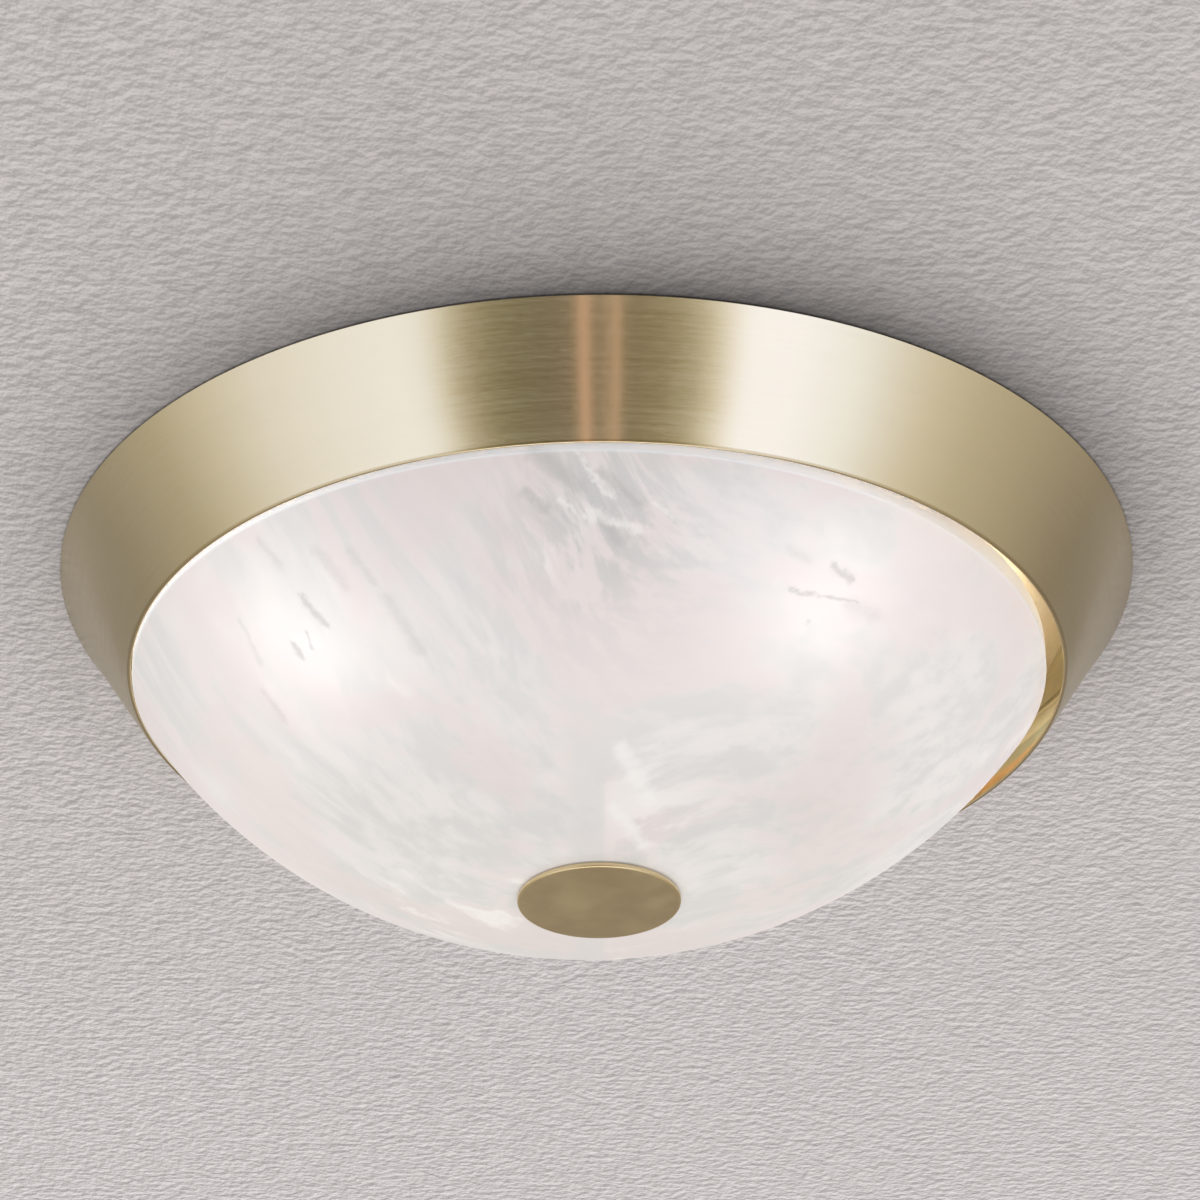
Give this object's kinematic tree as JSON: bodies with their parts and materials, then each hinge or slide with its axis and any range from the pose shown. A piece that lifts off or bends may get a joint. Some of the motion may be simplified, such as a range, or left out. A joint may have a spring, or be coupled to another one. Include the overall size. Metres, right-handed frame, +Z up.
{
  "type": "ceiling light",
  "caption": "Flush ceiling light: a conical satin brass ring, a white alabaster-effect glass bowl held up by a screwed brass disc, and screw-in bulbs inside.",
  "frame": {"origin": "centre of the ceiling face, midway between the two ceiling slots, on the axis of the rod", "axes": "+Z up into the ceiling, so the light hangs down along -Z; +Y away from the picture's camera, +X to its right, with the lamps lying near X"},
  "size_m": [0.4, 0.4, 0.1299],
  "materials": {
    "ring_brass": "satin brass, brushed around the ring",
    "plate_brass": "dull brass-plated steel",
    "finial_brass": "satin brass with a bright rounded edge",
    "bowl_glass": "white alabaster-effect glass with grey and pink clouding",
    "zinc_steel": "zinc-plated steel",
    "bar_steel": "galvanised pressed steel",
    "nut_brass": "polished brass",
    "contact_brass": "plain rolled brass",
    "porcelain": "glazed porcelain",
    "block_plastic": "moulded white polyamide",
    "clip_plastic": "moulded white nylon",
    "grommet_rubber": "black rubber",
    "washer_silicone": "soft translucent silicone",
    "live_insulation": "brown silicone insulation",
    "neutral_insulation": "blue silicone insulation",
    "earth_insulation": "green and yellow insulation",
    "bulb_nickel": "nickel-plated brass",
    "bulb_black": "black insulating ring",
    "bulb_white": "moulded white housing",
    "bulb_opal": "opal dome, lit warm white",
    "board_white": "white aluminium-core board"
  },
  "bodies": {
    "fixture": {"pan_ring": "ring_brass", "back_plate": "plate_brass", "ring_rivets": "zinc_steel", "ceiling_bar": "bar_steel", "bar_screws": "zinc_steel", "stud_washers": "zinc_steel", "cap_nuts": "nut_brass", "cable_grommet": "grommet_rubber", "centre_rod": "zinc_steel", "rod_top_nut": "zinc_steel", "rod_top_washer": "zinc_steel", "lamp_bracket": "bar_steel", "rod_lock_nut": "zinc_steel", "glass_stop_nut": "zinc_steel", "glass_stop_washer": "zinc_steel", "left_holder_body": "porcelain", "right_holder_body": "porcelain", "left_screw_shell": "contact_brass", "right_screw_shell": "contact_brass", "left_centre_spring": "contact_brass", "right_centre_spring": "contact_brass", "holder_screws": "zinc_steel", "terminal_block": "block_plastic", "terminal_sleeves": "contact_brass", "terminal_screws": "zinc_steel", "block_screw": "zinc_steel", "earth_screw": "nut_brass", "earth_tag": "zinc_steel", "live_wire_left": "live_insulation", "live_wire_right": "live_insulation", "neutral_wire_left": "neutral_insulation", "neutral_wire_right": "neutral_insulation", "earth_wire": "earth_insulation", "wire_clip": "clip_plastic"},
    "seat_washer": {"upper_seat_washer": "washer_silicone"},
    "bowl": {"glass_bowl": "bowl_glass"},
    "finial": {"finial_disc": "finial_brass", "finial_nut": "nut_brass", "finial_washer": "washer_silicone"},
    "left_contact": {"left_bulb_contact": "contact_brass"},
    "left_bulb": {"left_bulb_insulator": "bulb_black", "left_bulb_cap": "bulb_nickel", "left_bulb_housing": "bulb_white", "left_bulb_dome": "bulb_opal", "left_led_board": "board_white"},
    "right_contact": {"right_bulb_contact": "contact_brass"},
    "right_bulb": {"right_bulb_insulator": "bulb_black", "right_bulb_cap": "bulb_nickel", "right_bulb_housing": "bulb_white", "right_bulb_dome": "bulb_opal", "right_led_board": "board_white"}
  },
  "joints": [
    {"name": "seat_travel", "type": "slide", "parent": "fixture", "child": "seat_washer", "axis": [0, 0, -1], "range_m": [0, 0.005]},
    {"name": "bowl_lower", "type": "slide", "parent": "seat_washer", "child": "bowl", "axis": [0, 0, -1], "range_m": [0, 0.15]},
    {"name": "finial_turn", "type": "hinge", "parent": "bowl", "child": "finial", "pos_m": [0, 0, -0.127], "axis": [0, 0, -1], "range_deg": [0, 1800]},
    {"name": "left_bulb_feed", "type": "slide", "parent": "fixture", "child": "left_contact", "axis": [-0.9971, 0.0767, 0], "range_m": [0, 0.01814]},
    {"name": "left_bulb_turn", "type": "hinge", "parent": "left_contact", "child": "left_bulb", "pos_m": [0, 0, -0.044], "axis": [-0.9971, 0.0767, 0], "range_deg": [0, 1800]},
    {"name": "right_bulb_feed", "type": "slide", "parent": "fixture", "child": "right_contact", "axis": [0.9971, -0.0767, 0], "range_m": [0, 0.01814]},
    {"name": "right_bulb_turn", "type": "hinge", "parent": "right_contact", "child": "right_bulb", "pos_m": [0, 0, -0.044], "axis": [0.9971, -0.0767, 0], "range_deg": [0, 1800]}
  ],
  "couplings": [
    {"joint": "finial_turn", "follows": "seat_travel", "rad_per_m": 6283.2},
    {"joint": "left_bulb_turn", "follows": "left_bulb_feed", "rad_per_m": 1731.4},
    {"joint": "right_bulb_turn", "follows": "right_bulb_feed", "rad_per_m": 1731.4}
  ]
}
